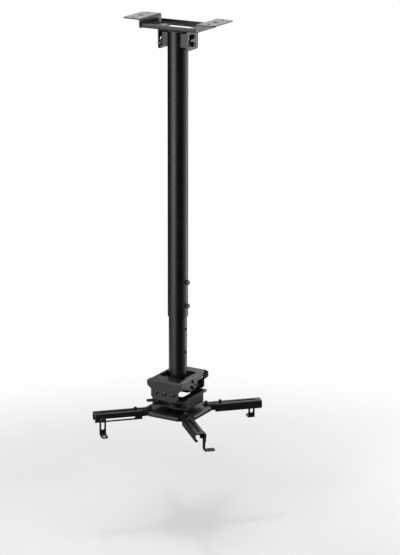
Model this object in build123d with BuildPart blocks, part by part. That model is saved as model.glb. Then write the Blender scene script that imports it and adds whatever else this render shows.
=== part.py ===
from build123d import *
import os

# Projector ceiling mount, in millimetres. +Z is up, X runs along the ceiling plate and Y across it.
# The origin is on the ceiling face in the middle of the plate. A drop is a distance below that face.

# Sheet metal and clearances
sheet = 2.5  # ceiling plate, ears, lugs, cradle, roll plate and carrier
arm_sheet = 2.4  # hub, arms and feet
bend = 1.5  # inside radius of a fold
relief = 2.0  # open corner between two folds that meet
gap = 0.3  # between pieces that move on each other
seat = 0.05  # between pieces that are clamped or welded together
bolt_play = 0.3  # around a bolt in its hole or slot

# Large and small bolts with their nuts
large_shank = 6.0
large_head = 10.5
large_head_height = 3.3
large_nut = 10.0  # across flats
large_nut_height = 4.0
small_shank = 5.0
small_head = 9.0
small_head_height = 2.7
small_nut = 8.0  # across flats
small_nut_height = 4.0
large_cap = 10.0  # cylindrical heads
large_cap_height = 6.0
small_cap = 8.5
small_cap_height = 5.0
bolt_end = 1.0  # length that stands out of a nut
socket_share = 0.5  # hexagon socket of a domed head, against the shank
cap_socket_share = 0.8  # hexagon socket of a cylindrical head, against the shank
socket_depth = 0.5  # against the head's height
head_rim = 0.35  # straight rim of a domed head, against the head's height
head_crown = 0.3  # flat top of a domed head, against the head's diameter

# Ceiling plate
plate_width = 83.0  # across the walls of the tray
lip_width = 76.0  # across the lips of the tray
tray_length = 126.0
tray_depth = 18.5
flange_length = 42.0
flange_end_width = 75.0
flange_corner = 4.0
lip_height = 9.0
window_length = 58.0
window_width = 42.0
screw_row = 172.0  # between the two rows of ceiling screws
screw_pitch = 28.0
screw_hole = 7.0
centre_hole = 10.5

# Hinge under the ceiling plate
ear_spacing = 63.0  # clear width between the ears
ear_width = 43.0
ear_length = 41.5  # below the tray
ear_foot = 18.0
ear_corner = 6.0
pivot_below_tray = 30.1
lock_radius = 15.0
lock_sweep = 90.0
tube_lug_width = 31.0
tube_lug_above = 22.0  # above the pivot
tube_lug_below = 5.5

# Telescopic pole
tube_diameter = 42.0
tube_wall = 1.7
tube_above_pivot = 25.0
tube_length = 592.0
inner_wall = 1.7
hole_pitch = 50.0
holes_below = 2  # holes of the inner tube under the lower bolt
holes_above = 4  # holes of the inner tube over the upper bolt
bolt_inset = 23.5  # lower bolt above the end of the outer tube
inner_end = 16.0  # inner tube above its highest hole
exposed = 126.0  # inner tube between the outer tube and the cradle

# Cradle
cradle_width = 73.0
cradle_length = 109.2
cradle_window_length = 58.0
cradle_window_width = 56.0
window_corner = 4.0
strip_depth = 15.0
lobe_depth = 30.0
lobe_width = 36.0
lobe_corner = 14.0
gusset_end = 4.0  # lower end of the gusset of a strip, from the middle
flare_length = 8.0  # end of a strip that turns out to the shoulder of the end plate
pitch_below_top = 10.6
pitch_lock_radius = 13.5
pitch_reach = 42.0  # arc slot to each side, degrees
pitch_lug_width = 31.0
pitch_lug_crown = 6.2  # around the pivot
end_top_width = 71.6
shoulder_width = 83.6
shoulder_top = 4.5
shoulder_bottom = 14.3
plate_end_width = 64.4
plate_end_depth = 44.0
waist_depth = 22.5
toe_width = 50.0
toe_rise = 6.5

# Roll joint and carrier
roll_below_top = 28.4
roll_lock_pitch = 20.0
roll_reach = 8.0  # roll to each side, degrees
roll_tab_width = 52.0
roll_tab_above = 7.0
roll_tab_corner = 5.0
roll_plate_below = 0.8  # under the end plates of the cradle
roll_ear_reach = 42.6  # from the middle of the plate
roll_ear_corner = 7.0
roll_ear_hole = 8.0
roll_ear_inset = 8.0
access_width = 44.0
access_length = 50.0
access_corner = 14.0
carrier_width = 84.0
carrier_length = 66.0
carrier_depth = 20.0
carrier_lip = 2.6
carrier_hole = 6.0

# Swivel
swivel_shank = 10.0
swivel_flats = 16.0
swivel_head_height = 6.4
swivel_washer_diameter = 24.0
swivel_washer_height = 2.0
spacer_diameter = 34.0
spacer_height = 7.9
swivel_nut_height = 7.0

# Spider hub
hub_width = 120.0
hub_corner = 25.0
hub_edge = 8.7
stub_root = 62.0  # where the stubs begin to turn down
stub_fold = 18.0  # length of their turned-down edges
stub_reach = 158.0

# Arms
arm_width = 24.0
arm_reach = 179.0
arm_start = 79.0
tongue_start = 54.0
tongue_corner = 5.0
plain_wall = 18.4
lipped_wall = 17.6
arm_lip = 7.0
arm_bolt_start = 60.5
arm_bolt_pitch = 30.5
slot_bridge = 3.0  # between the two top slots
top_slot_inset = 12.0  # from the end of the arm
side_slot_start = 94.0
side_slot_inset = 10.0  # from the end of the arm
side_slot_drop = 12.5

# Feet
foot_inset = 15.5  # from the end of the arm
foot_width = 13.6
foot_above = 7.5  # leg above its bolt
foot_leg = 40.4
foot_toe = 24.0
foot_slot_above = 4.5
foot_slot = 26.0
toe_slot = 13.0
toe_end = 3.6
foot_corner = 2.0
toe_corner = 5.0
back_foot_in = 39.0  # the second foot is set nearer to the hub
back_foot_up = 17.0  # and higher
front_foot_in = 6.5  # the fourth foot is set a little nearer too

# Derived places
pivot_drop = tray_depth + pivot_below_tray
ear_inner = ear_spacing / 2
ear_outer = ear_inner + sheet
tube_lug_outer = ear_inner - gap
tube_radius = tube_diameter / 2
tube_top = pivot_drop - tube_above_pivot
tube_bottom = tube_top + tube_length
inner_radius = tube_radius - tube_wall - gap
lower_bolt = tube_bottom - bolt_inset
upper_bolt = lower_bolt - hole_pitch
inner_holes = [lower_bolt + (holes_below - i) * hole_pitch for i in range(holes_below + 2 + holes_above)]
cradle_top = tube_bottom + exposed
strip_inner = cradle_width / 2 - sheet
pitch_lug_outer = strip_inner - gap
pitch_drop = cradle_top + pitch_below_top
pitch_lock_drop = pitch_drop + pitch_lock_radius
pitch_lug_bottom = pitch_lock_drop + small_nut
end_inner = cradle_length / 2 - sheet
roll_drop = cradle_top + roll_below_top
roll_under = cradle_top + plate_end_depth + roll_plate_below
roll_top = roll_under - sheet
roll_tab_outer = end_inner - gap
carrier_inner = carrier_width / 2 - sheet
carrier_floor = roll_under + carrier_depth
hub_top = carrier_floor + spacer_height
arm_top = hub_top - gap - arm_sheet
foot_reach = arm_reach - foot_inset
foot_bolt_drop = arm_top + side_slot_drop
foot_inner = arm_width / 2 + gap
foot_top = foot_bolt_drop - foot_above
foot_bottom = foot_top + foot_leg
arm_angles = [45, 135, 225, 315]
arm_bolt_places = [arm_bolt_start, arm_bolt_start + arm_bolt_pitch]
large_hole = large_shank / 2 + bolt_play
small_hole = small_shank / 2 + bolt_play


def folded(plane, points, radii, thickness, side):
    """Section of a folded strip: one face follows the points, and the sheet lies on one side of them."""
    with BuildSketch(plane) as section:
        with BuildLine():
            FilletPolyline(*points, radius=radii)
            offset(amount=thickness, side=side)
        make_face()
    return section.sketch


def button_bolt(shank, head, head_height, length):
    """Bolt with a domed socket head on the XY plane and its shank below."""
    with BuildPart() as bolt:
        with BuildSketch(Plane.XZ):
            with BuildLine():
                rim = (head / 2, head_height * head_rim)
                crown = (head * head_crown, head_height)
                Polyline((0, head_height), (0, -length), (shank / 2, -length), (shank / 2, 0))
                Polyline((shank / 2, 0), (head / 2, 0), rim)
                TangentArc(rim, crown, tangent=(0, 1))
                Line(crown, (0, head_height))
            make_face()
        revolve(axis=Axis.Z)
        with BuildSketch(Plane.XY.offset(head_height)):
            RegularPolygon(shank * socket_share / 2, side_count=6, major_radius=False)
        extrude(amount=-head_height * socket_depth, mode=Mode.SUBTRACT)
    return bolt.part


def cap_bolt(shank, head, head_height, length):
    """Bolt with a cylindrical socket head on the XY plane and its shank below."""
    with BuildPart() as bolt:
        with BuildSketch():
            Circle(head / 2)
        extrude(amount=head_height)
        chamfer(bolt.edges().group_by(Axis.Z)[-1], length=head_height / 10)
        with BuildSketch():
            Circle(shank / 2)
        extrude(amount=-length)
        with BuildSketch(Plane.XY.offset(head_height)):
            RegularPolygon(shank * cap_socket_share / 2, side_count=6, major_radius=False)
        extrude(amount=-head_height * socket_depth, mode=Mode.SUBTRACT)
    return bolt.part


def hex_nut(flats, height, shank):
    """Nut that stands on the XY plane."""
    with BuildPart() as nut:
        with BuildSketch():
            RegularPolygon(flats / 2, side_count=6, major_radius=False)
            Circle(shank / 2 + seat, mode=Mode.SUBTRACT)
        extrude(amount=height)
    return nut.part


def both_sides(x, drop):
    """Places on the left and right of the pole that face outwards along X."""
    return [Plane((side * x, 0, -drop), x_dir=(0, 1, 0), z_dir=(side, 0, 0)) for side in (1, -1)]


def both_sides_inwards(x, drop):
    """Places on the left and right of the pole that face the pole along X."""
    return [Plane((side * x, 0, -drop), x_dir=(0, 1, 0), z_dir=(-side, 0, 0)) for side in (1, -1)]


def save(part, name):
    """Label a finished piece and write its file."""
    part.label = name
    export_step(part, f"parts/{name}.step")


os.makedirs("parts", exist_ok=True)

# Ceiling plate: a hat section with upturned lips along the tray
tray_half = tray_length / 2
plate_half = tray_half + flange_length
lip_half = tray_half - bend - relief
edge_strip = (plate_width - lip_width) / 2 + bend + sheet
with BuildPart() as ceiling_plate:
    hat_line = [
        (-plate_half, 0),
        (-tray_half, 0),
        (-tray_half, sheet - tray_depth),
        (tray_half, sheet - tray_depth),
        (tray_half, 0),
        (plate_half, 0),
    ]
    hat_radii = [bend + sheet, bend, bend, bend + sheet]
    extrude(folded(Plane.XZ, hat_line, hat_radii, sheet, Side.RIGHT), amount=plate_width / 2, both=True)
    with BuildSketch():
        with BuildLine():
            Polyline(
                (tray_half + bend + sheet, plate_width / 2),
                (plate_half, plate_width / 2),
                (plate_half, flange_end_width / 2),
                close=True,
            )
        make_face()
        mirror(about=Plane.XZ)
        mirror(about=Plane.YZ)
    extrude(amount=-sheet, mode=Mode.SUBTRACT)
    sheet_edges = ceiling_plate.edges().filter_by(Axis.Z).group_by(SortBy.LENGTH)[0]
    flange_ends = sheet_edges.filter_by(lambda edge: abs(edge.center().X) > plate_half - sheet)
    fillet(flange_ends, radius=flange_corner)
    with BuildSketch(Plane.XY.offset(-tray_depth)):
        with GridLocations(0, plate_width - edge_strip, 1, 2):
            Rectangle(tray_length - 2 * bend, edge_strip)
        Rectangle(window_length, window_width)
    extrude(amount=sheet, mode=Mode.SUBTRACT)
    lip_line = [
        (-lip_width / 2, lip_height - tray_depth),
        (-lip_width / 2, -tray_depth),
        (lip_width / 2, -tray_depth),
        (lip_width / 2, lip_height - tray_depth),
    ]
    with BuildSketch(Plane.YZ):
        add(folded(Plane.XY, lip_line, bend + sheet, sheet, Side.LEFT))
        Rectangle(window_width, 2 * tray_depth, align=(Align.CENTER, Align.MAX), mode=Mode.SUBTRACT)
    extrude(amount=lip_half, both=True)
    with BuildSketch():
        with GridLocations(screw_row, 2 * screw_pitch, 2, 2):
            Circle(screw_hole / 2)
        with GridLocations(screw_row, 0, 2, 1):
            Circle(centre_hole / 2)
    extrude(amount=-sheet, mode=Mode.SUBTRACT)
save(ceiling_plate.part, "ceiling_plate")

# Hanger ears: angles under the tray, with a pivot hole and an arc slot for the lock bolt
lock_arc = CenterArc((0, -pivot_drop), lock_radius, 90, lock_sweep)
with BuildPart() as hanger_ear_right:
    ear_line = [
        (ear_inner, -tray_depth - ear_length),
        (ear_inner, -tray_depth),
        (ear_outer + ear_foot, -tray_depth),
    ]
    extrude(folded(Plane.XZ, ear_line, bend + sheet, sheet, Side.RIGHT), amount=ear_width / 2, both=True)
    fillet(hanger_ear_right.edges().filter_by(Axis.X).group_by(Axis.Z)[0], radius=ear_corner)
    with BuildSketch(Plane.YZ.offset(ear_inner)):
        with Locations((0, -pivot_drop)):
            Circle(large_hole)
        SlotArc(lock_arc, 2 * large_hole)
    extrude(amount=sheet, mode=Mode.SUBTRACT)
save(hanger_ear_right.part, "hanger_ear_right")

with BuildPart() as hanger_ear_left:
    mirror(hanger_ear_right.part, about=Plane.YZ)
save(hanger_ear_left.part, "hanger_ear_left")

# Outer tube and the two channels on its sides that hang in the ears
with BuildPart() as outer_tube:
    with BuildSketch(Plane.XY.offset(-tube_bottom)):
        Circle(tube_radius)
        Circle(tube_radius - tube_wall, mode=Mode.SUBTRACT)
    extrude(amount=tube_length)
    with BuildSketch(Plane.YZ):
        with Locations((0, -upper_bolt), (0, -lower_bolt)):
            Circle(large_hole)
    extrude(amount=tube_radius, both=True, mode=Mode.SUBTRACT)
save(outer_tube.part, "outer_tube")

with BuildPart() as tube_lug_right:
    lug_line = [
        (0, -tube_lug_width / 2),
        (tube_lug_outer, -tube_lug_width / 2),
        (tube_lug_outer, tube_lug_width / 2),
        (0, tube_lug_width / 2),
    ]
    lug_plane = Plane.XY.offset(-pivot_drop - tube_lug_below)
    lug_height = tube_lug_above + tube_lug_below
    extrude(folded(lug_plane, lug_line, bend + sheet, sheet, Side.LEFT), amount=lug_height)
    with BuildSketch(lug_plane):
        Circle(tube_radius + seat)
        Rectangle(tube_radius, tube_lug_width)
    extrude(amount=lug_height, mode=Mode.SUBTRACT)
    with BuildSketch(Plane.YZ):
        with Locations((0, -pivot_drop), (0, lock_radius - pivot_drop)):
            Circle(large_hole)
    extrude(amount=ear_outer, mode=Mode.SUBTRACT)
save(tube_lug_right.part, "tube_lug_right")

with BuildPart() as tube_lug_left:
    mirror(tube_lug_right.part, about=Plane.YZ)
save(tube_lug_left.part, "tube_lug_left")

# Bolts of the ceiling hinge
hinge_length = sheet + gap + sheet + large_nut_height + bolt_end
hinge_bolt = cap_bolt(large_shank, large_cap, large_cap_height, hinge_length)
large_hex = hex_nut(large_nut, large_nut_height, large_shank)
with BuildPart() as ceiling_pivot_bolts:
    with Locations(*both_sides(ear_outer + seat, pivot_drop)):
        add(hinge_bolt)
save(ceiling_pivot_bolts.part, "ceiling_pivot_bolts")

with BuildPart() as ceiling_lock_bolts:
    with Locations(*both_sides(ear_outer + seat, pivot_drop - lock_radius)):
        add(hinge_bolt)
save(ceiling_lock_bolts.part, "ceiling_lock_bolts")

with BuildPart() as ceiling_pivot_nuts:
    with Locations(*both_sides_inwards(tube_lug_outer - sheet - seat, pivot_drop)):
        add(large_hex)
save(ceiling_pivot_nuts.part, "ceiling_pivot_nuts")

with BuildPart() as ceiling_lock_nuts:
    with Locations(*both_sides_inwards(tube_lug_outer - sheet - seat, pivot_drop - lock_radius)):
        add(large_hex)
save(ceiling_lock_nuts.part, "ceiling_lock_nuts")

# Through bolts of the pole, with the heads on the right
pole_bolt_length = tube_diameter + large_nut_height + bolt_end
with BuildPart() as height_bolts:
    with Locations(*[both_sides(tube_radius + seat, drop)[0] for drop in (upper_bolt, lower_bolt)]):
        add(button_bolt(large_shank, large_head, large_head_height, pole_bolt_length))
save(height_bolts.part, "height_bolts")

with BuildPart() as height_nuts:
    with Locations(*[both_sides(tube_radius + seat, drop)[1] for drop in (upper_bolt, lower_bolt)]):
        add(large_hex)
save(height_nuts.part, "height_nuts")

# Inner tube with its row of cross holes
inner_top = inner_holes[-1] - inner_end
with BuildPart() as inner_tube:
    with BuildSketch(Plane.XY.offset(-pitch_lug_bottom)):
        Circle(inner_radius)
        Circle(inner_radius - inner_wall, mode=Mode.SUBTRACT)
    extrude(amount=pitch_lug_bottom - inner_top)
    with BuildSketch(Plane.YZ):
        with Locations(*[(0, -drop) for drop in inner_holes]):
            Circle(large_hole)
    extrude(amount=tube_radius, both=True, mode=Mode.SUBTRACT)
save(inner_tube.part, "inner_tube")

# Channels on the foot of the inner tube, rounded over the pivot so that the cradle can tilt
with BuildPart() as pitch_lug_right:
    pitch_line = [
        (0, -pitch_lug_width / 2),
        (pitch_lug_outer, -pitch_lug_width / 2),
        (pitch_lug_outer, pitch_lug_width / 2),
        (0, pitch_lug_width / 2),
    ]
    pitch_plane = Plane.XY.offset(-pitch_lug_bottom)
    extrude(folded(pitch_plane, pitch_line, bend + sheet, sheet, Side.LEFT), amount=lobe_depth)
    with BuildSketch(pitch_plane):
        Circle(inner_radius + seat)
        Rectangle(inner_radius, pitch_lug_width)
    extrude(amount=lobe_depth, mode=Mode.SUBTRACT)
    with BuildSketch(Plane.YZ):
        with Locations((0, -pitch_drop)):
            Circle(pitch_lug_crown)
        with Locations((0, -pitch_lug_bottom)):
            Rectangle(pitch_lug_width, pitch_lug_bottom - pitch_lock_drop, align=(Align.CENTER, Align.MIN))
        make_hull()
    extrude(amount=pitch_lug_outer, mode=Mode.INTERSECT)
    with BuildSketch(Plane.YZ):
        with Locations((0, -pitch_drop), (0, -pitch_lock_drop)):
            Circle(small_hole)
    extrude(amount=pitch_lug_outer, mode=Mode.SUBTRACT)
save(pitch_lug_right.part, "pitch_lug_right")

with BuildPart() as pitch_lug_left:
    mirror(pitch_lug_right.part, about=Plane.YZ)
save(pitch_lug_left.part, "pitch_lug_left")

# Cradle: the side strips with a lobe and a gusset, then the top with the two end plates
strip_half = cradle_length / 2 - sheet - bend - relief
pitch_arc = CenterArc((0, -pitch_drop), pitch_lock_radius, 270 - pitch_reach, 2 * pitch_reach)
with BuildPart() as strip_limit:
    with BuildSketch(Plane.YZ) as strip_outline:
        with Locations((0, -cradle_top)):
            Rectangle(2 * strip_half, strip_depth, align=(Align.CENTER, Align.MAX))
            Rectangle(lobe_width, lobe_depth, align=(Align.CENTER, Align.MAX))
        fillet(strip_outline.vertices().group_by(Axis.Y)[0], radius=lobe_corner)
        with BuildLine():
            Polyline(
                (-strip_half, -cradle_top - strip_depth),
                (-gusset_end, -cradle_top - lobe_depth),
                (-gusset_end, -cradle_top - strip_depth),
                close=True,
            )
        make_face()
    extrude(amount=cradle_width)
    add(strip_limit.part.rotate(Axis.Z, 180))

with BuildPart() as strips:
    strip_line = [
        (-cradle_width / 2, -cradle_top - lobe_depth),
        (-cradle_width / 2, -cradle_top),
        (cradle_width / 2, -cradle_top),
        (cradle_width / 2, -cradle_top - lobe_depth),
    ]
    extrude(folded(Plane.XZ, strip_line, bend + sheet, sheet, Side.RIGHT), amount=strip_half, both=True)
    add(strip_limit.part, mode=Mode.INTERSECT)
    with BuildSketch(Plane.YZ):
        with Locations((0, -pitch_drop)):
            Circle(small_hole)
        SlotArc(pitch_arc, 2 * small_hole)
    extrude(amount=cradle_width, both=True, mode=Mode.SUBTRACT)

with BuildPart() as cradle:
    end_line = [
        (-cradle_length / 2, -cradle_top - plate_end_depth),
        (-cradle_length / 2, -cradle_top),
        (cradle_length / 2, -cradle_top),
        (cradle_length / 2, -cradle_top - plate_end_depth),
    ]
    extrude(folded(Plane.YZ, end_line, bend + sheet, sheet, Side.RIGHT), amount=shoulder_width / 2, both=True)
    end_half = [
        (0, 0),
        (end_top_width / 2, 0),
        (shoulder_width / 2, shoulder_top),
        (shoulder_width / 2, shoulder_bottom),
        (plate_end_width / 2, waist_depth),
        (plate_end_width / 2, plate_end_depth - toe_rise),
        (toe_width / 2, plate_end_depth),
        (0, plate_end_depth),
    ]
    with BuildSketch(Plane.XZ):
        with BuildLine():
            Polyline(*[(x, -cradle_top - depth) for x, depth in end_half], close=True)
        make_face()
        mirror(about=Plane.YZ)
    extrude(amount=cradle_length, both=True, mode=Mode.INTERSECT)
    with BuildSketch(Plane.XY.offset(-cradle_top)):
        with GridLocations(2 * (strip_inner - bend) + shoulder_width, 0, 2, 1):
            Rectangle(shoulder_width, 2 * (strip_half + relief))
    extrude(amount=-sheet, mode=Mode.SUBTRACT)
    add(strips.part)
    flare_end = cradle_length / 2 - sheet / 2
    with BuildSketch(Plane.XY.offset(-cradle_top - shoulder_top)):
        with BuildLine():
            Polyline(
                (cradle_width / 2 - sheet, strip_half - flare_length),
                (cradle_width / 2, strip_half - flare_length),
                (shoulder_width / 2, flare_end),
                (shoulder_width / 2 - sheet, flare_end),
                close=True,
            )
        make_face()
        mirror(about=Plane.XZ)
        mirror(about=Plane.YZ)
    extrude(amount=shoulder_top - shoulder_bottom)
    with BuildSketch(Plane.XY.offset(-cradle_top)) as cradle_window:
        Rectangle(cradle_window_length, cradle_window_width)
        fillet(cradle_window.vertices(), radius=window_corner)
    extrude(amount=-sheet, mode=Mode.SUBTRACT)
    with BuildSketch(Plane.XZ):
        with Locations((0, -roll_drop)):
            with GridLocations(roll_lock_pitch, 0, 3, 1):
                Circle(small_hole)
    extrude(amount=cradle_length, both=True, mode=Mode.SUBTRACT)
save(cradle.part, "cradle")

# Bolts of the tilt joint: they are fixed in the lugs, and the lock bolts ride in the arc slots
pitch_length = sheet + gap + sheet + small_nut_height + bolt_end
pitch_bolt = button_bolt(small_shank, small_head, small_head_height, pitch_length)
small_hex = hex_nut(small_nut, small_nut_height, small_shank)
with BuildPart() as pitch_pivot_bolts:
    with Locations(*both_sides(cradle_width / 2 + seat, pitch_drop)):
        add(pitch_bolt)
save(pitch_pivot_bolts.part, "pitch_pivot_bolts")

with BuildPart() as pitch_lock_bolts:
    with Locations(*both_sides(cradle_width / 2 + seat, pitch_lock_drop)):
        add(pitch_bolt)
save(pitch_lock_bolts.part, "pitch_lock_bolts")

with BuildPart() as pitch_nuts:
    for nut_drop in (pitch_drop, pitch_lock_drop):
        with Locations(*both_sides_inwards(pitch_lug_outer - sheet - seat, nut_drop)):
            add(small_hex)
save(pitch_nuts.part, "pitch_nuts")

# Roll plate: upturned tabs behind the end plates of the cradle, and two ears on the right
roll_arcs = [
    CenterArc((0, -roll_drop), roll_lock_pitch, middle - roll_reach, 2 * roll_reach) for middle in (0, 180)
]
with BuildPart() as roll_plate:
    tab_line = [
        (-roll_tab_outer, roll_tab_above - roll_drop),
        (-roll_tab_outer, -roll_under),
        (roll_tab_outer, -roll_under),
        (roll_tab_outer, roll_tab_above - roll_drop),
    ]
    extrude(folded(Plane.YZ, tab_line, bend + sheet, sheet, Side.LEFT), amount=roll_tab_width / 2, both=True)
    fillet(roll_plate.edges().filter_by(Axis.Y).group_by(Axis.Z)[-1], radius=roll_tab_corner)
    with BuildSketch(Plane.XY.offset(-roll_under)) as roll_outline:
        with Locations((-roll_tab_width / 2, 0)):
            roll_ears_width = roll_tab_width / 2 + roll_ear_reach
            Rectangle(roll_ears_width, 2 * roll_tab_outer, align=(Align.MIN, Align.CENTER))
        fillet(roll_outline.vertices().group_by(Axis.X)[-1], radius=roll_ear_corner)
        with Locations((carrier_inner, 0)):
            Rectangle(2 * sheet, carrier_length + 2 * gap, mode=Mode.SUBTRACT)
        Rectangle(2 * (carrier_inner - seat), carrier_length)
        with GridLocations(0, 2 * roll_tab_outer, 1, 2):
            Rectangle(roll_tab_width + 2 * relief, 2 * (bend + sheet), mode=Mode.SUBTRACT)
        with Locations((roll_ear_reach - roll_ear_inset, 0)):
            with GridLocations(0, 2 * (roll_tab_outer - roll_ear_inset), 1, 2):
                Circle(roll_ear_hole / 2, mode=Mode.SUBTRACT)
    extrude(amount=sheet)
    with BuildSketch(Plane.XY.offset(-roll_under)):
        RectangleRounded(access_width, access_length, access_corner)
    extrude(amount=sheet, mode=Mode.SUBTRACT)
    with BuildSketch(Plane.XZ):
        with Locations((0, -roll_drop)):
            Circle(small_hole)
        for roll_arc in roll_arcs:
            SlotArc(roll_arc, 2 * small_hole)
    extrude(amount=cradle_length, both=True, mode=Mode.SUBTRACT)
save(roll_plate.part, "roll_plate")

# Bolts of the roll joint, three in a row in each end plate
roll_seat = cradle_length / 2 + seat
roll_nut_seat = roll_tab_outer - sheet - gap
roll_length = sheet + gap + sheet + small_nut_height + bolt_end
roll_bolt = button_bolt(small_shank, small_head, small_head_height, roll_length)
roll_row = [-roll_lock_pitch, 0, roll_lock_pitch]
with BuildPart() as roll_bolts:
    for face in (1, -1):
        with Locations(*[
            Plane((x, face * roll_seat, -roll_drop), x_dir=(1, 0, 0), z_dir=(0, face, 0))
            for x in roll_row
        ]):
            add(roll_bolt)
save(roll_bolts.part, "roll_bolts")

with BuildPart() as roll_nuts:
    for face in (1, -1):
        with Locations(*[
            Plane((x, face * roll_nut_seat, -roll_drop), x_dir=(1, 0, 0), z_dir=(0, -face, 0))
            for x in roll_row
        ]):
            add(small_hex)
save(roll_nuts.part, "roll_nuts")

# Carrier: a U channel around the middle of the roll plate
with BuildPart() as hub_carrier:
    carrier_line = [
        (-carrier_width / 2, carrier_lip - roll_top),
        (-carrier_width / 2, -carrier_floor),
        (carrier_width / 2, -carrier_floor),
        (carrier_width / 2, carrier_lip - roll_top),
    ]
    carrier_section = folded(Plane.XZ, carrier_line, bend + sheet, sheet, Side.LEFT)
    extrude(carrier_section, amount=carrier_length / 2, both=True)
    with BuildSketch(Plane.XY.offset(-carrier_floor)):
        Circle(swivel_shank / 2 + bolt_play)
    extrude(amount=sheet, mode=Mode.SUBTRACT)
    with BuildSketch(Plane.YZ):
        with Locations((0, -(roll_under + carrier_floor) / 2)):
            Circle(carrier_hole / 2)
    extrude(amount=carrier_width, both=True, mode=Mode.SUBTRACT)
save(hub_carrier.part, "hub_carrier")

# Swivel: a bolt through the carrier and the hub, with a washer, a spacer and a nut
swivel_seat = carrier_floor - sheet - seat
nut_seat = hub_top + arm_sheet + gap
with BuildPart() as swivel_washer:
    with BuildSketch(Plane.XY.offset(-swivel_seat)):
        Circle(swivel_washer_diameter / 2)
        Circle(swivel_shank / 2 + bolt_play, mode=Mode.SUBTRACT)
    extrude(amount=swivel_washer_height)
save(swivel_washer.part, "swivel_washer")

with BuildPart() as swivel_bolt:
    with BuildSketch(Plane.XY.offset(-swivel_seat + swivel_washer_height + seat)):
        RegularPolygon(swivel_flats / 2, side_count=6, major_radius=False)
    extrude(amount=swivel_head_height)
    chamfer(swivel_bolt.edges().group_by(Axis.Z)[-1], length=swivel_head_height / 8)
    with BuildSketch(Plane.XY.offset(-swivel_seat + swivel_washer_height + seat)):
        Circle(swivel_shank / 2)
    extrude(amount=swivel_seat - swivel_washer_height - seat - nut_seat - swivel_nut_height - bolt_end)
save(swivel_bolt.part, "swivel_bolt")

with BuildPart() as swivel_spacer:
    with BuildSketch(Plane.XY.offset(-hub_top + gap)):
        Circle(spacer_diameter / 2)
        Circle(swivel_shank / 2 + bolt_play, mode=Mode.SUBTRACT)
    extrude(amount=spacer_height - gap - seat)
save(swivel_spacer.part, "swivel_spacer")

with BuildPart() as swivel_nut:
    with Locations(Plane((0, 0, -nut_seat), z_dir=(0, 0, -1))):
        add(hex_nut(swivel_flats, swivel_nut_height, swivel_shank))
save(swivel_nut.part, "swivel_nut")

# One stub of the hub along +X: its turned-down edges lie inside the walls of the arm
stub_half = arm_width / 2 - arm_sheet - gap
stub_flat = arm_width - 2 * (arm_sheet + bend)
stub_edge = lipped_wall - 2 * arm_sheet - bend - 2 * gap
with BuildPart() as stub:
    stub_line = [
        (-stub_half, -hub_top - stub_edge),
        (-stub_half, -hub_top),
        (stub_half, -hub_top),
        (stub_half, -hub_top - stub_edge),
    ]
    stub_section = folded(Plane.YZ.offset(stub_root), stub_line, bend + arm_sheet, arm_sheet, Side.RIGHT)
    extrude(stub_section, amount=stub_fold)

# Hub: a square sheet with turned-down edges, cut corners and a stub to each arm
hub_half = hub_width / 2
edge_half = hub_half - hub_corner
stub_slit = stub_half + relief - stub_flat / 2
with BuildPart() as hub_plate:
    edge_line = [
        (-hub_half, -hub_top - hub_edge),
        (-hub_half, -hub_top),
        (hub_half, -hub_top),
        (hub_half, -hub_top - hub_edge),
    ]
    for edge_plane in (Plane.XZ, Plane.YZ):
        edge_section = folded(edge_plane, edge_line, bend + arm_sheet, arm_sheet, Side.RIGHT)
        extrude(edge_section, amount=edge_half, both=True)
    with BuildSketch(Plane.XY.offset(-hub_top)) as hub_outline:
        Rectangle(hub_width, hub_width)
        chamfer(hub_outline.vertices(), length=hub_corner)
        for edge_angle in (0, 90, 180, 270):
            with PolarLocations(hub_half, 1, start_angle=edge_angle):
                Rectangle(2 * (bend + arm_sheet), 2 * edge_half, mode=Mode.SUBTRACT)
        with PolarLocations(0, len(arm_angles), start_angle=arm_angles[0]):
            with Locations((stub_root, 0)):
                with GridLocations(0, stub_flat + stub_slit, 1, 2):
                    Rectangle(stub_fold, stub_slit, align=(Align.MIN, Align.CENTER), mode=Mode.SUBTRACT)
            Rectangle(stub_reach, stub_flat, align=(Align.MIN, Align.CENTER))
    extrude(amount=-arm_sheet)
    with PolarLocations(0, len(arm_angles), start_angle=arm_angles[0]):
        add(stub.part)
    with BuildSketch(Plane.XY.offset(-hub_top)):
        Circle(swivel_shank / 2 + bolt_play)
        for reach in arm_bolt_places:
            with PolarLocations(reach, len(arm_angles), start_angle=arm_angles[0]):
                Circle(small_hole)
    extrude(amount=-arm_sheet, mode=Mode.SUBTRACT)
save(hub_plate.part, "hub_plate")

# Bolts that clamp the arms on the stubs
arm_bolt_length = arm_sheet + gap + arm_sheet + small_nut_height + bolt_end
with BuildPart() as arm_bolts:
    for reach in arm_bolt_places:
        with Locations(Plane.XY.offset(gap - arm_top)):
            with PolarLocations(reach, len(arm_angles), start_angle=arm_angles[0]):
                add(cap_bolt(small_shank, small_cap, small_cap_height, arm_bolt_length))
save(arm_bolts.part, "arm_bolts")

with BuildPart() as arm_nuts:
    for reach in arm_bolt_places:
        with Locations(Plane.XY.offset(-hub_top - arm_sheet - seat - small_nut_height)):
            with PolarLocations(reach, len(arm_angles), start_angle=arm_angles[0]):
                add(small_hex)
save(arm_nuts.part, "arm_nuts")

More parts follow.
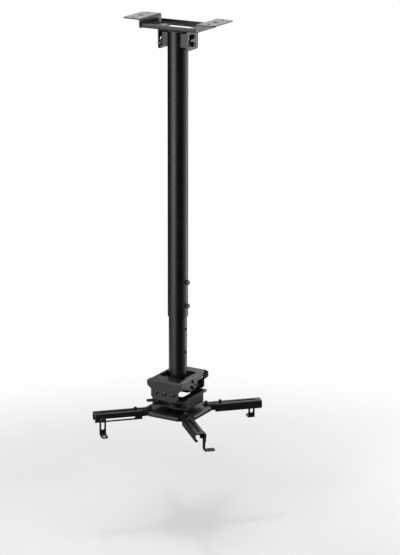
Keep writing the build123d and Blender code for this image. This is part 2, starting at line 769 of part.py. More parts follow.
# One arm along +X: a channel with one lipped wall, a tongue over the hub, two top slots and a side slot
with BuildPart() as arm:
    arm_line = [
        (arm_lip - arm_width / 2, -arm_top - lipped_wall),
        (-arm_width / 2, -arm_top - lipped_wall),
        (-arm_width / 2, -arm_top),
        (arm_width / 2, -arm_top),
        (arm_width / 2, -arm_top - plain_wall),
    ]
    arm_section = folded(Plane.YZ.offset(arm_start), arm_line, bend + arm_sheet, arm_sheet, Side.RIGHT)
    extrude(arm_section, amount=arm_reach - arm_start)
    with BuildSketch(Plane.XY.offset(-arm_top)) as tongue:
        with Locations((tongue_start, 0)):
            Rectangle(arm_start - tongue_start + bend, stub_flat, align=(Align.MIN, Align.CENTER))
        fillet(tongue.vertices().group_by(Axis.X)[0], radius=tongue_corner)
    extrude(amount=-arm_sheet)
    slot_starts = [place - small_hole for place in arm_bolt_places]
    slot_ends = [slot_starts[1] - slot_bridge, arm_reach - top_slot_inset]
    with BuildSketch(Plane.XY.offset(-arm_top)):
        for slot_start, slot_end in zip(slot_starts, slot_ends):
            with Locations(((slot_start + slot_end) / 2, 0)):
                SlotOverall(slot_end - slot_start, 2 * small_hole)
    extrude(amount=-arm_sheet, mode=Mode.SUBTRACT)
    side_slot_end = arm_reach - side_slot_inset
    with BuildSketch(Plane.XZ):
        with Locations(((side_slot_start + side_slot_end) / 2, -foot_bolt_drop)):
            SlotOverall(side_slot_end - side_slot_start, 2 * large_hole)
    extrude(amount=-arm_width, mode=Mode.SUBTRACT)

# One foot along +X: an L strip outside the plain wall, with a slot in the leg and one in the toe
with BuildPart() as foot:
    foot_line = [
        (foot_inner, -foot_top),
        (foot_inner, -foot_bottom),
        (foot_inner + foot_toe, -foot_bottom),
    ]
    foot_section = folded(Plane.YZ.offset(foot_reach), foot_line, bend + arm_sheet, arm_sheet, Side.LEFT)
    extrude(foot_section, amount=foot_width / 2, both=True)
    fillet(foot.edges().filter_by(Axis.Y).group_by(Axis.Z)[-1], radius=foot_corner)
    fillet(foot.edges().filter_by(Axis.Z).group_by(Axis.Y)[-1], radius=toe_corner)
    with BuildSketch(Plane.XZ):
        with Locations((foot_reach, foot_slot_above - foot_slot / 2 - foot_bolt_drop)):
            SlotOverall(foot_slot, 2 * large_hole, rotation=90)
    extrude(amount=-foot_inner - foot_toe, mode=Mode.SUBTRACT)
    with BuildSketch(Plane.XY.offset(-foot_bottom)):
        with Locations((foot_reach, foot_inner + foot_toe - toe_end - toe_slot / 2)):
            SlotOverall(toe_slot, 2 * large_hole, rotation=90)
    extrude(amount=arm_sheet, mode=Mode.SUBTRACT)

# Bolt and nut that clamp the foot in the side slot
foot_bolt_length = arm_sheet + gap + arm_sheet + large_nut_height + bolt_end
foot_bolt_plane = Plane((foot_reach, foot_inner + arm_sheet + gap, -foot_bolt_drop), z_dir=(0, 1, 0))
foot_nut_plane = Plane((foot_reach, arm_width / 2 - arm_sheet - gap, -foot_bolt_drop), z_dir=(0, -1, 0))
with BuildPart() as foot_bolt:
    with Locations(foot_bolt_plane):
        add(button_bolt(large_shank, large_head, large_head_height, foot_bolt_length))

with BuildPart() as foot_nut:
    with Locations(foot_nut_plane):
        add(large_hex)

# The four arms with their feet, bolts and nuts, each foot at its own setting
foot_settings = [(0, 0), (-back_foot_in, back_foot_up), (0, 0), (-front_foot_in, 0)]
for number, (angle, (along, up)) in enumerate(zip(arm_angles, foot_settings), 1):
    clamp = Location((along, 0, 0))
    save(arm.part.rotate(Axis.Z, angle), f"arm_{number}")
    save(foot.part.moved(Location((along, 0, up))).rotate(Axis.Z, angle), f"foot_{number}")
    save(foot_bolt.part.moved(clamp).rotate(Axis.Z, angle), f"foot_bolt_{number}")
    save(foot_nut.part.moved(clamp).rotate(Axis.Z, angle), f"foot_nut_{number}")
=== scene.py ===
import math

import bpy
from mathutils import Euler, Matrix, Vector


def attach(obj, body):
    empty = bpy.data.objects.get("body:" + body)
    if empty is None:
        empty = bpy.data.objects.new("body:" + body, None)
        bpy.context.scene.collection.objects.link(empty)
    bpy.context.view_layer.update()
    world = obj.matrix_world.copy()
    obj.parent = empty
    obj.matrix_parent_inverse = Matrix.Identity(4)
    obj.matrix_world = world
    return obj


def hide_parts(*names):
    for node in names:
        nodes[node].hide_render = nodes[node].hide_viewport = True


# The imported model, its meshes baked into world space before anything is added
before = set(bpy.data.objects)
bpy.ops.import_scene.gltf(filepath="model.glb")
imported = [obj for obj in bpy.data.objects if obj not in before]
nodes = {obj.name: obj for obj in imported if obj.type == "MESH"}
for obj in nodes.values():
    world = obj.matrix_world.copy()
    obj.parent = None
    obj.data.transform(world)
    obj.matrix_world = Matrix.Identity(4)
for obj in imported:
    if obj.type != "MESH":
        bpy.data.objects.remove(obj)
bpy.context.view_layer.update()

MM = 0.001

# Camera, fitted to the photograph of 400 by 555 pixels
PHOTO_WIDTH = 400
PHOTO_HEIGHT = 555
SENSOR_WIDTH = 36.0
FOCAL_PIXELS = 2380.6
PRINCIPAL_POINT = (176.25, 273.0)
CAMERA_PLACE = (2.3683, -4.0418, 0.8058)
CAMERA_TILT = 74.14
CAMERA_TURN = 30.41

# Stage and world
FLOOR_LEVEL = -1.10
FLOOR_HALF = 20.0
FLOOR_FADE = (0.45, 1.15)
WORLD_FILL = 0.40

# Screws and nuts, in millimetres as in the CAD
STEPS = 96
KNURLS = 24
KNURL_DEPTH = 0.3
THREAD_DEPTH = 0.45
THREAD_LENGTH = 6.0
NUT_FACE = 0.96  # share of a nut's width that its round face takes
LARGE = {"shank": 6.0, "pitch": 1.0, "flats": 10.0, "nut": 4.0}
SMALL = {"shank": 5.0, "pitch": 0.8, "flats": 8.0, "nut": 4.0}

# Their places. Seats are those of a head and of its nut, measured along the screw.
HINGE_LEVELS = (("pivot", -48.6), ("lock", -33.6))
HINGE_SEATS = (34.05, 28.65)
POLE_LEVELS = (-542.1, -592.1)
POLE_SEATS = (20.6, -20.4)
TILT_LEVELS = (("pivot", -752.2), ("lock", -765.7))
TILT_SEATS = (36.55, 31.15)
ROLL_LEVEL = -770
ROLL_ROW = (-20, 0, 20)
ROLL_SEATS = (54.65, 49.0)
ARM_ANGLES = (45, 135, 225, 315)
ARM_SCREW_REACH = (60.5, 91.0)
ARM_SEATS = (-811.3, -820.75)
FOOT_LEVEL = -824.1
FOOT_REACH = (163.5, 124.5, 163.5, 157.0)
FOOT_SEATS = (15.0, 9.3)
UP = Vector((0, 0, 1))

# Weld beads and the sheet of the hub's corners
BEAD_SIDES = 12
BEAD_STEP = 0.3
BEAD_RIPPLE = 1.8
WEB_CORNER = 2.5
WEB_STEPS = 8
WEB_EASE = 0.25


def link_object(name, data):
    """A new object in the scene's own collection."""
    item = bpy.data.objects.new(name, data)
    bpy.context.scene.collection.objects.link(item)
    return item


def around(azimuth, distance, height):
    """A place around the pole. The azimuth is 0 on the camera's side and grows to the right."""
    angle = math.atan2(CAMERA_PLACE[1], CAMERA_PLACE[0]) + math.radians(azimuth)
    return Vector((distance * math.cos(angle), distance * math.sin(angle), height))


def aim(item, target):
    """Turn the -Z side of an object to a point."""
    direction = Vector(target) - item.location
    item.rotation_euler = direction.to_track_quat("-Z", "Y").to_euler()


def add_camera():
    """Camera at the photograph's viewing angle and framing."""
    data = bpy.data.cameras.new("camera")
    data.sensor_fit = "HORIZONTAL"
    data.sensor_width = SENSOR_WIDTH
    data.lens = FOCAL_PIXELS * SENSOR_WIDTH / PHOTO_WIDTH
    data.shift_x = (PHOTO_WIDTH / 2 - PRINCIPAL_POINT[0]) / PHOTO_WIDTH
    data.shift_y = (PRINCIPAL_POINT[1] - PHOTO_HEIGHT / 2) / PHOTO_WIDTH
    data.clip_end = 100.0
    camera = link_object("camera", data)
    camera.location = CAMERA_PLACE
    camera.rotation_euler = Euler((math.radians(CAMERA_TILT), 0, math.radians(CAMERA_TURN)))
    bpy.context.scene.camera = camera


class Graph:
    """Short way to write a node tree: every call adds one node and links what feeds it."""

    def __init__(self, tree):
        self.tree = tree
        self.tree.nodes.clear()

    def add(self, kind, inputs=None, **settings):
        node = self.tree.nodes.new(kind)
        for key, value in settings.items():
            setattr(node, key, value)
        for key, value in (inputs or {}).items():
            self.feed(node.inputs[key], value)
        return node

    def feed(self, socket, value):
        if isinstance(value, bpy.types.NodeSocket):
            self.tree.links.new(value, socket)
        else:
            socket.default_value = value

    def noise(self, coordinates, scale, detail=2.0, roughness=0.5):
        inputs = {"Vector": coordinates, "Scale": scale, "Detail": detail, "Roughness": roughness}
        return self.add("ShaderNodeTexNoise", inputs).outputs["Fac"]

    def math(self, operation, first, second=0.0):
        return self.add("ShaderNodeMath", {0: first, 1: second}, operation=operation).outputs[0]

    def spread(self, value, low, high, from_low=0.3, from_high=0.7):
        inputs = {"Value": value, "From Min": from_low, "From Max": from_high, "To Min": low, "To Max": high}
        return self.add("ShaderNodeMapRange", inputs).outputs["Result"]

    def mix(self, factor, first, second):
        inputs = {"Factor": factor, 6: first, 7: second}
        return self.add("ShaderNodeMix", inputs, data_type="RGBA").outputs[2]


def new_graph(name):
    """A material with an empty node tree."""
    material = bpy.data.materials.new(name)
    material.use_nodes = True
    return material, Graph(material.node_tree)


def edge_mask(graph, radius):
    """Rounded normal near the edges, and a mask that is 1 on the edge itself."""
    rounded = graph.add("ShaderNodeBevel", {"Radius": radius}, samples=4).outputs["Normal"]
    plain = graph.add("ShaderNodeNewGeometry").outputs["Normal"]
    product = graph.add("ShaderNodeVectorMath", {0: rounded, 1: plain}, operation="DOT_PRODUCT")
    return rounded, graph.spread(product.outputs["Value"], 1.0, 0.0, 0.80, 1.0)


def powder_coat():
    """Satin black powder coat: orange-peel skin, faint clouds in the gloss and a painted highlight that
    lightens the edges.
    """
    material, graph = new_graph("powder_coat_black")
    place = graph.add("ShaderNodeTexCoord").outputs["Object"]
    rounded, edge = edge_mask(graph, 0.35 * MM)
    clouds = graph.noise(place, 38.0, 3.0)
    grain = graph.noise(place, 2600.0, 2.0)
    peel = graph.noise(place, 720.0, 2.0, 0.45)
    deep, thin = (0.0030, 0.0030, 0.0032, 1), (0.0055, 0.0055, 0.0058, 1)
    paint = graph.mix(graph.spread(clouds, 0.0, 1.0), deep, thin)
    speckled = graph.mix(graph.spread(grain, 0.0, 0.35), paint, (0.009, 0.009, 0.0095, 1))
    # Painted highlight: the edges are lightened in the base colour.
    painted_edge_highlight = graph.mix(graph.math("MULTIPLY", edge, 0.25), speckled, (0.028, 0.028, 0.029, 1))
    gloss = graph.math("ADD", graph.spread(clouds, 0.31, 0.37), graph.spread(grain, -0.03, 0.03))
    relief = graph.math("ADD", peel, graph.math("MULTIPLY", grain, 0.25))
    bump_inputs = {"Height": relief, "Strength": 0.10, "Distance": 0.25 * MM, "Normal": rounded}
    bump = graph.add("ShaderNodeBump", bump_inputs).outputs["Normal"]
    shader = graph.add("ShaderNodeBsdfPrincipled", {"Base Color": painted_edge_highlight, "Roughness": gloss, "Normal": bump})
    shader.inputs["Specular IOR Level"].default_value = 0.42
    graph.add("ShaderNodeOutputMaterial", {"Surface": shader.outputs[0]})
    return material


def black_screws():
    """Black oxide steel: darker and smoother than the paint, with fine turning marks and a painted highlight
    that lightens the rims.
    """
    material, graph = new_graph("black_oxide_steel")
    place = graph.add("ShaderNodeTexCoord").outputs["Object"]
    rounded, edge = edge_mask(graph, 0.4 * MM)
    blotches = graph.noise(place, 240.0, 3.0)
    fine = graph.noise(place, 4200.0, 2.0)
    oxide = graph.mix(graph.spread(blotches, 0.0, 1.0), (0.005, 0.005, 0.0052, 1), (0.010, 0.0098, 0.010, 1))
    # Painted highlight: the rims are lightened in the base colour.
    painted_rim_highlight = graph.mix(graph.math("MULTIPLY", edge, 0.6), oxide, (0.07, 0.07, 0.07, 1))
    gloss = graph.math("ADD", graph.spread(blotches, 0.18, 0.27), graph.spread(fine, -0.03, 0.03))
    bump_inputs = {"Height": fine, "Strength": 0.12, "Distance": 0.05 * MM, "Normal": rounded}
    bump = graph.add("ShaderNodeBump", bump_inputs).outputs["Normal"]
    shader = graph.add("ShaderNodeBsdfPrincipled", {"Base Color": painted_rim_highlight, "Roughness": gloss, "Normal": bump})
    shader.inputs["Metallic"].default_value = 0.30
    shader.inputs["Coat Weight"].default_value = 0.25
    shader.inputs["Coat Roughness"].default_value = 0.11
    graph.add("ShaderNodeOutputMaterial", {"Surface": shader.outputs[0]})
    return material


def spacer_nylon():
    """Black nylon with a dull moulded skin and a painted highlight that lightens the edges."""
    material, graph = new_graph("black_nylon")
    place = graph.add("ShaderNodeTexCoord").outputs["Object"]
    rounded, edge = edge_mask(graph, 0.5 * MM)
    clouds = graph.noise(place, 160.0, 3.0)
    fine = graph.noise(place, 3000.0, 2.0)
    colour = graph.mix(graph.spread(clouds, 0.0, 1.0), (0.013, 0.013, 0.013, 1), (0.024, 0.024, 0.024, 1))
    # Painted highlight: the edges are lightened in the base colour.
    painted_nylon_highlight = graph.mix(graph.math("MULTIPLY", edge, 0.4), colour, (0.06, 0.06, 0.06, 1))
    bump_inputs = {"Height": fine, "Strength": 0.2, "Distance": 0.08 * MM, "Normal": rounded}
    bump = graph.add("ShaderNodeBump", bump_inputs).outputs["Normal"]
    shader_inputs = {"Base Color": painted_nylon_highlight, "Roughness": graph.spread(clouds, 0.5, 0.62), "Normal": bump}
    shader = graph.add("ShaderNodeBsdfPrincipled", shader_inputs)
    graph.add("ShaderNodeOutputMaterial", {"Surface": shader.outputs[0]})
    return material


def dress_nodes():
    """Give every solid the finish of its kind."""
    coat = powder_coat()
    screws = black_screws()
    nylon = spacer_nylon()
    for name, item in nodes.items():
        finish = coat
        if "bolt" in name or "nut" in name or "washer" in name:
            finish = screws
        if "spacer" in name:
            finish = nylon
        item.data.materials.clear()
        item.data.materials.append(finish)
    add_screws(screws)
    add_welds(coat)
    add_corner_webs(coat)


def circle(radius, height):
    """One round section of a turned piece."""
    return lambda angle: (radius, height)


def hexagon(half, height):
    """A section with six flats."""
    return lambda angle: (half / math.cos((angle + math.pi / 6) % (math.pi / 3) - math.pi / 6), height)


def nut_corner(half, height, rise):
    """Edge where the cone of a nut's chamfer runs into its six flats."""
    side = hexagon(half, height)

    def section(angle):
        radius = side(angle)[0]
        return radius, height + rise * (radius - NUT_FACE * half) * math.tan(math.pi / 6)

    return section


def knurled(radius, height):
    """A section with fine ribs for the fingers."""
    return lambda angle: (radius - KNURL_DEPTH * (0.5 + 0.5 * math.cos(KNURLS * angle)), height)


def threaded(radius, height, pitch):
    """A section through a screw thread."""
    def section(angle):
        turn = (height / pitch - angle / math.tau) % 1
        return radius - THREAD_DEPTH * abs(2 * turn - 1), height

    return section


def skin(rows, sides):
    """Faces over rows of points, closed at both ends. The points of a row lie in a ring."""
    faces = []
    for row in range(rows):
        for side in range(sides):
            first, second = row * sides + side, row * sides + (side + 1) % sides
            faces.append((first, second, second + sides, first + sides))
    return faces + [tuple(range(sides))[::-1], tuple(range(rows * sides, (rows + 1) * sides))]


def turned(sections, hollow=False):
    """Skin over a row of sections, closed at both ends, or from the last section to the first."""
    points = []
    for section in sections:
        for step in range(STEPS):
            angle = math.tau * step / STEPS
            radius, height = section(angle)
            points.append(Vector((radius * math.cos(angle), radius * math.sin(angle), height)))
    rows = [[row * STEPS + step for step in range(STEPS)] for row in range(len(sections))]
    faces = []
    for lower, upper in zip(rows, rows[1:] + rows[:1] if hollow else rows[1:]):
        for step in range(STEPS):
            after = (step + 1) % STEPS
            faces.append((lower[step], lower[after], upper[after], upper[step]))
    if not hollow:
        for row, flip in ((rows[0], -1), (rows[-1], 1)):
            points.append(sum((points[index] for index in row), Vector()) / STEPS)
            for step in range(STEPS):
                pair = (row[step], row[(step + 1) % STEPS])[::flip]
                faces.append((*pair, len(points) - 1))
    return points, faces


def shank_sections(size, length):
    """Pointed end, thread and plain neck of a screw, up to its head at height 0."""
    radius = size["shank"] / 2
    sections = [circle(radius - 0.9, -length)]
    count = round(4 * THREAD_LENGTH / size["pitch"])
    for index in range(count + 1):
        sections.append(threaded(radius, 0.5 - length + THREAD_LENGTH * index / count, size["pitch"]))
    return sections + [circle(radius, 0.8 + THREAD_LENGTH - length), circle(radius, 0)]


def socket_sections(half, top, depth):
    """Hexagon socket in the top of a head."""
    return [hexagon(half + 0.2, top), hexagon(half, top - 0.25), hexagon(half, top - depth)]


def cap_screw(size, head, height, length, washer=None):
    """Screw with a knurled cylindrical head, on a washer where its width and thickness are given."""
    radius, foot = head / 2, 0
    sections = shank_sections(size, length)
    if washer:
        rim, foot = washer[0] / 2, washer[1]
        sections += [circle(rim - 0.2, 0), circle(rim, 0.2), circle(rim, foot - 0.2), circle(rim - 0.2, foot)]
    sections += [circle(radius - 0.4, foot), knurled(radius, foot + 0.4), knurled(radius, height - 0.7)]
    sections += [circle(radius - 0.35, height - 0.35), circle(radius - 0.8, height)]
    return turned(sections + socket_sections(0.4 * size["shank"], height, height / 2))


def domed_screw(size, head, height, length):
    """Screw with a low domed head."""
    radius, rim = head / 2, 0.3 * height
    sections = shank_sections(size, length)
    sections += [circle(radius - 0.2, 0), circle(radius, 0.2), circle(radius, rim)]
    crown = 0.36 * radius
    for share in (15, 30, 45, 60, 75, 90):
        turn = math.radians(share)
        reach = crown + (radius - crown) * math.cos(turn)
        sections.append(circle(reach, rim + (height - rim) * math.sin(turn)))
    return turned(sections + socket_sections(0.27 * size["shank"], height, height / 2))


def hex_nut(size):
    """Nut with chamfered corners and a countersunk bore, standing on height 0."""
    half, bore, height = size["flats"] / 2, size["shank"] / 2 + 0.05, size["nut"]
    face, sink = NUT_FACE * half, bore + 0.5
    sections = [circle(sink, 0), circle(face, 0), nut_corner(half, 0, 1)]
    sections += [nut_corner(half, height, -1), circle(face, height), circle(sink, height)]
    sections += [circle(bore, height - 0.5), circle(bore, 0.5)]
    return turned(sections, hollow=True)


def collar(size, width, height):
    """Low round flange of a rivet nut, standing on height 0."""
    rim, bore = width / 2, size["shank"] / 2 + 0.05
    sections = [circle(bore + 0.3, 0), circle(rim, 0), circle(rim, height - 0.35), circle(rim - 0.35, height)]
    sections += [circle(bore + 0.3, height), circle(bore, height - 0.3), circle(bore, 0.3)]
    return turned(sections, hollow=True)


def bead(start, end, radius=1.1):
    """Rippled weld between two points."""
    start, end = Vector(start), Vector(end)
    along = (end - start).normalized()
    across = along.orthogonal().normalized()
    beyond = along.cross(across)
    length = (end - start).length
    count = round(length / BEAD_STEP)
    points = []
    for index in range(count + 1):
        place = length * index / count
        taper = (1 - abs(2 * index / count - 1) ** 12) ** 0.5
        for side in range(BEAD_SIDES):
            turn = math.tau * side / BEAD_SIDES
            scales = 0.1 * math.cos(math.tau * place / BEAD_RIPPLE + 0.8 * math.cos(turn))
            waver = 0.05 * math.sin(0.9 * place + turn)
            reach = max(radius * (0.9 + scales + waver) * taper, 0.05)
            points.append(start + along * place + (across * math.cos(turn) + beyond * math.sin(turn)) * reach)
    return points, skin(count, BEAD_SIDES)


def standing(place, axis, flat=UP):
    """Where a turned piece stands: its foot, its axis and the side that a flat faces."""
    axis, flat = Vector(axis), Vector(flat)
    side = axis.cross(flat)
    turn = Matrix((flat, side, axis)).transposed().to_4x4()
    return Matrix.Translation(Vector(place)) @ turn


def add_piece(name, shapes, finish, body, stands_for=()):
    """One object from several closed shapes, given in millimetres."""
    points, faces = [], []
    for shape_points, shape_faces in shapes:
        start = len(points)
        points += [point * MM for point in shape_points]
        faces += [tuple(start + index for index in face) for face in shape_faces]
    mesh = bpy.data.meshes.new(name)
    mesh.from_pydata(points, [], faces)
    mesh.shade_smooth()
    mesh.set_sharp_from_angle(angle=math.radians(35))
    mesh.materials.append(finish)
    piece = link_object(name, mesh)
    if stands_for:
        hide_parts(*stands_for)
    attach(piece, body)


def at_places(shape, places):
    """Copies of a shape."""
    points, faces = shape
    return [([place @ point for point in points], faces) for place in places]


def add_screws(finish):
    """Detailed screws and nuts in the places of the plain CAD ones."""
    def fit(name, shape, places, body, node):
        add_piece(name, at_places(shape, places), finish, body, [node])

    def sideways(seat, level, way=1):
        return [standing((side * seat, 0, level), (way * side, 0, 0)) for side in (1, -1)]

    hinge = cap_screw(LARGE, head=10.0, height=6.0, length=10.3)
    head_seat, nut_seat = HINGE_SEATS
    for kind, level in HINGE_LEVELS:
        heads, nuts = sideways(head_seat, level), sideways(nut_seat, level, -1)
        fit(f"hinge_{kind}_screws", hinge, heads, "mast", f"ceiling_{kind}_bolts")
        fit(f"hinge_{kind}_hexes", hex_nut(LARGE), nuts, "mast", f"ceiling_{kind}_nuts")

    head_seat, nut_seat = POLE_SEATS
    heads = [standing((head_seat, 0, level), (1, 0, 0)) for level in POLE_LEVELS]
    nuts = [standing((nut_seat, 0, level), (-1, 0, 0)) for level in POLE_LEVELS]
    pole_screw = cap_screw(LARGE, head=10.0, height=5.6, length=44.2)
    fit("pole_screws", pole_screw, heads, "mast", "height_bolts")
    fit("pole_rivet_nuts", collar(LARGE, width=9.2, height=1.25), nuts, "mast", "height_nuts")

    cradle_screw = domed_screw(SMALL, head=9.0, height=2.7, length=10.3)
    head_seat, nut_seat = TILT_SEATS
    nuts = []
    for kind, level in TILT_LEVELS:
        nuts += sideways(nut_seat, level, -1)
        heads = sideways(head_seat, level)
        fit(f"tilt_{kind}_screws", cradle_screw, heads, "drop_tube", f"pitch_{kind}_bolts")
    fit("tilt_hexes", hex_nut(SMALL), nuts, "drop_tube", "pitch_nuts")

    head_seat, nut_seat = ROLL_SEATS
    row = [(x, side) for x in ROLL_ROW for side in (1, -1)]
    heads = [standing((x, side * head_seat, ROLL_LEVEL), (0, side, 0)) for x, side in row]
    nuts = [standing((x, side * nut_seat, ROLL_LEVEL), (0, -side, 0)) for x, side in row]
    fit("roll_screws", cradle_screw, heads, "tilt_cradle", "roll_bolts")
    fit("roll_hexes", hex_nut(SMALL), nuts, "tilt_cradle", "roll_nuts")

    foot_screw = domed_screw(LARGE, head=10.5, height=3.3, length=10.1)
    on_arms, under_arms = [], []
    for number, (angle, foot_reach) in enumerate(zip(ARM_ANGLES, FOOT_REACH), 1):
        turn = math.radians(angle)
        along = Vector((math.cos(turn), math.sin(turn), 0))
        out = Vector((-math.sin(turn), math.cos(turn), 0))
        for reach in ARM_SCREW_REACH:
            on_arms.append(standing(along * reach + UP * ARM_SEATS[0], UP, out))
            under_arms.append(standing(along * reach + UP * ARM_SEATS[1], UP, out))
        place, body = along * foot_reach + UP * FOOT_LEVEL, f"foot_clamp_{number}"
        heads = [standing(place + out * FOOT_SEATS[0], out, along)]
        nuts = [standing(place + out * FOOT_SEATS[1], -out, along)]
        fit(f"foot_screw_{number}", foot_screw, heads, body, f"foot_bolt_{number}")
        fit(f"foot_hex_{number}", hex_nut(LARGE), nuts, body, f"foot_nut_{number}")
    arm_screw = cap_screw(SMALL, head=6.8, height=5.0, length=10.1, washer=(8.5, 0.9))
    fit("arm_screws", arm_screw, on_arms, "hub", "arm_bolts")
    fit("arm_hexes", hex_nut(SMALL), under_arms, "hub", "arm_nuts")


def add_welds(finish):
    """Weld beads where the painted pieces are joined."""
    def weld(name, lines, body):
        add_piece(name, [bead(*line) for line in lines], finish, body)

    corners = [(x, y) for x in (1, -1) for y in (1, -1)]
    ears = []
    for x, y in corners:
        ears.append(((x * 36.5, y * 21.7, -18.9), (x * 50.0, y * 21.7, -18.9)))
        ears.append(((x * 52.2, y * 3.0, -18.9), (x * 52.2, y * 19.0, -18.9)))
    weld("ear_welds", ears, "ceiling")
    tube = [((x * 14.5, y * 15.7, -53.0), (x * 14.5, y * 15.7, -28.0)) for x, y in corners]
    weld("tube_welds", tube, "mast")
    lugs = [((x * 11.4, y * 15.7, -773.2), (x * 11.4, y * 15.7, -766.2)) for x, y in corners]
    weld("lug_welds", lugs, "drop_tube")
    stitches = [(x, y) for x in (1, -1) for y in (-28.0, -7.0, 14.0)]
    carrier = [((x * 39.2, y, -783.7), (x * 39.2, y + 14.0, -783.7)) for x, y in stitches]
    weld("carrier_welds", carrier, "turntable")


def web_plate(inner, outer, top, bottom, front, thickness):
    """Upright plate across an arm's line, with a round lower corner and broken edges."""
    outline = [(inner, top), (inner, bottom)]
    for step in range(WEB_STEPS + 1):
        turn = math.radians(90 * step / WEB_STEPS)
        across, up = WEB_CORNER * math.sin(turn), WEB_CORNER * math.cos(turn)
        outline.append((outer - WEB_CORNER + across, bottom + WEB_CORNER - up))
    outline.append((outer, top))
    middle = Vector(((inner + outer) / 2, (top + bottom) / 2))
    points = []
    for depth, inset in ((thickness, WEB_EASE), (thickness - WEB_EASE, 0), (WEB_EASE, 0), (0, WEB_EASE)):
        for place in outline:
            towards = (middle - Vector(place)).normalized() * inset
            points.append(Vector((front - depth, place[0] + towards.x, place[1] + towards.y)))
    return points, skin(3, len(outline))


def add_corner_webs(finish):
    """Turned-down corners of the hub, between its edges and the roots of the stubs."""
    points, faces = web_plate(inner=9.2, outer=17.4, top=-816.0, bottom=-823.0, front=66.8, thickness=2.4)
    mirrored = [Vector((point.x, -point.y, point.z)) for point in points], [face[::-1] for face in faces]
    turns = [Matrix.Rotation(math.radians(angle), 4, "Z") for angle in ARM_ANGLES]
    webs = at_places((points, faces), turns) + at_places(mirrored, turns)
    add_piece("corner_webs", webs, finish, "hub")


def white_rays(graph):
    """1 for rays that should see a plain white background."""
    path = graph.add("ShaderNodeLightPath")
    seen = graph.math("MAXIMUM", path.outputs["Is Camera Ray"], path.outputs["Is Glossy Ray"])
    return graph.math("MAXIMUM", seen, path.outputs["Is Transmission Ray"])


def add_world():
    """White background, with a softer fill for what it lights."""
    world = bpy.data.worlds.new("studio")
    world.use_nodes = True
    bpy.context.scene.world = world
    graph = Graph(world.node_tree)
    strength = graph.spread(white_rays(graph), WORLD_FILL, 1.0, 0.0, 1.0)
    background = graph.add("ShaderNodeBackground", {"Color": (1, 1, 1, 1), "Strength": strength})
    graph.add("ShaderNodeOutputWorld", {"Surface": background.outputs[0]})


def card(name, width, height):
    """An upright rectangle that faces -Z before it is turned."""
    mesh = bpy.data.meshes.new(name)
    turns = [(-1, -1), (1, -1), (1, 1), (-1, 1)]
    mesh.from_pydata([(x * width / 2, y * height / 2, 0) for x, y in turns], [], [(0, 1, 2, 3)])
    return link_object(name, mesh)


def add_floor():
    """Pale floor that keeps the shadow and fades to the white background further out."""
    floor = card("floor", 2 * FLOOR_HALF, 2 * FLOOR_HALF)
    floor.location = (0, 0, FLOOR_LEVEL)
    material, graph = new_graph("pale_floor")
    place = graph.add("ShaderNodeTexCoord").outputs["Object"]
    reach = graph.add("ShaderNodeVectorMath", {0: place}, operation="LENGTH").outputs["Value"]
    fade_inputs = {"Value": reach, "From Min": FLOOR_FADE[0], "From Max": FLOOR_FADE[1]}
    fade = graph.add("ShaderNodeMapRange", fade_inputs)
    fade.interpolation_type = "SMOOTHSTEP"
    mottle = graph.noise(place, 6.0, 3.0)
    colour = graph.mix(graph.spread(mottle, 0.0, 1.0), (0.86, 0.86, 0.86, 1), (0.88, 0.88, 0.88, 1))
    bump_inputs = {"Height": graph.noise(place, 400.0), "Strength": 0.05, "Distance": MM}
    bump = graph.add("ShaderNodeBump", bump_inputs).outputs["Normal"]
    gloss = graph.spread(mottle, 0.75, 0.85)
    matt = graph.add("ShaderNodeBsdfPrincipled", {"Base Color": colour, "Roughness": gloss, "Normal": bump})
    white = graph.add("ShaderNodeEmission", {"Color": (1, 1, 1, 1), "Strength": white_rays(graph)})
    mixed = graph.add("ShaderNodeMixShader", {0: fade.outputs[0], 1: matt.outputs[0], 2: white.outputs[0]})
    graph.add("ShaderNodeOutputMaterial", {"Surface": mixed.outputs[0]})
    floor.data.materials.append(material)


def grey_felt(shade):
    """Cloth of a reflection card."""
    material, graph = new_graph("felt")
    place = graph.add("ShaderNodeTexCoord").outputs["Object"]
    dark, light = 0.6 * shade, 1.4 * shade
    felt = graph.mix(graph.noise(place, 60.0), (dark, dark, dark, 1), (light, light, light, 1))
    shader = graph.add("ShaderNodeBsdfDiffuse", {"Color": felt})
    graph.add("ShaderNodeOutputMaterial", {"Surface": shader.outputs[0]})
    return material


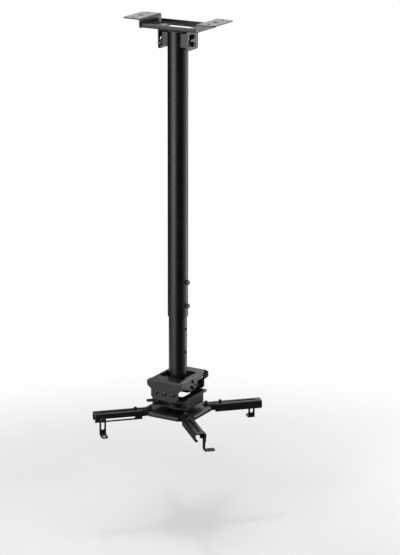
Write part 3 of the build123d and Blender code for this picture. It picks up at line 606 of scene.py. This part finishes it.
def add_flag(name, azimuth, distance, level, size, shade, upright):
    """A dark card that only reflections see, as photographers use to shape black paint."""
    flag = card(name, *size)
    flag.location = around(azimuth, distance, level)
    flag.rotation_euler = (0, 0, math.radians(CAMERA_TURN))
    if upright:
        aim(flag, (0, 0, level))
    flag.data.materials.append(grey_felt(shade))
    flag.visible_camera = False
    flag.visible_diffuse = False
    flag.visible_shadow = False


def add_lamp(name, azimuth, distance, level, size, power, target):
    """A soft rectangular lamp."""
    data = bpy.data.lights.new(name, "AREA")
    data.shape = "RECTANGLE"
    data.size, data.size_y = size
    data.energy = power
    lamp = link_object(name, data)
    lamp.location = around(azimuth, distance, level)
    aim(lamp, target)
    lamp.visible_camera = False


def add_studio():
    """Floor, background, lamps and flags."""
    add_world()
    add_floor()
    middle = (0, 0, -0.45)
    # Name, azimuth, distance, level, size, power and target
    lamps = (
        ("key_left", -48.0, 1.9, -0.35, (1.2, 1.5), 17.5, middle),
        ("rim_right", 116.0, 1.05, -0.52, (0.45, 1.1), 3.7, middle),
        ("overhead", -20.0, 0.8, 1.6, (1.8, 1.8), 28.0, (0, 0, -0.8)),
        ("back", 178.0, 2.2, 0.75, (2.4, 1.0), 7.5, (0, 0, 0)),
        ("glint", -25.0, 0.45, 1.2, (0.12, 0.12), 3.0, middle),
    )
    for lamp in lamps:
        add_lamp(*lamp)
    # Name, azimuth, distance, level, size, shade and whether it stands upright
    flags = (
        ("flag_front", 22.0, 1.2, -0.2, (2.3, 2.4), 0.006, True),
        ("flag_front_floor", 22.0, 0.8, FLOOR_LEVEL + 0.03, (1.5, 1.3), 0.006, False),
        ("flag_left", -114.0, 1.3, -0.2, (1.2, 2.4), 0.02, True),
        ("flag_under", 48.0, 0.15, -0.9, (0.62, 0.70), 0.13, False),
        ("flag_back_left", 200.0, 1.25, -0.53, (0.9, 1.06), 0.01, True),
        ("flag_back_right", 160.0, 1.25, -0.80, (0.85, 0.5), 0.02, True),
    )
    for flag in flags:
        add_flag(*flag)


add_camera()
dress_nodes()
add_studio()
bpy.context.scene.view_settings.view_transform = "Standard"
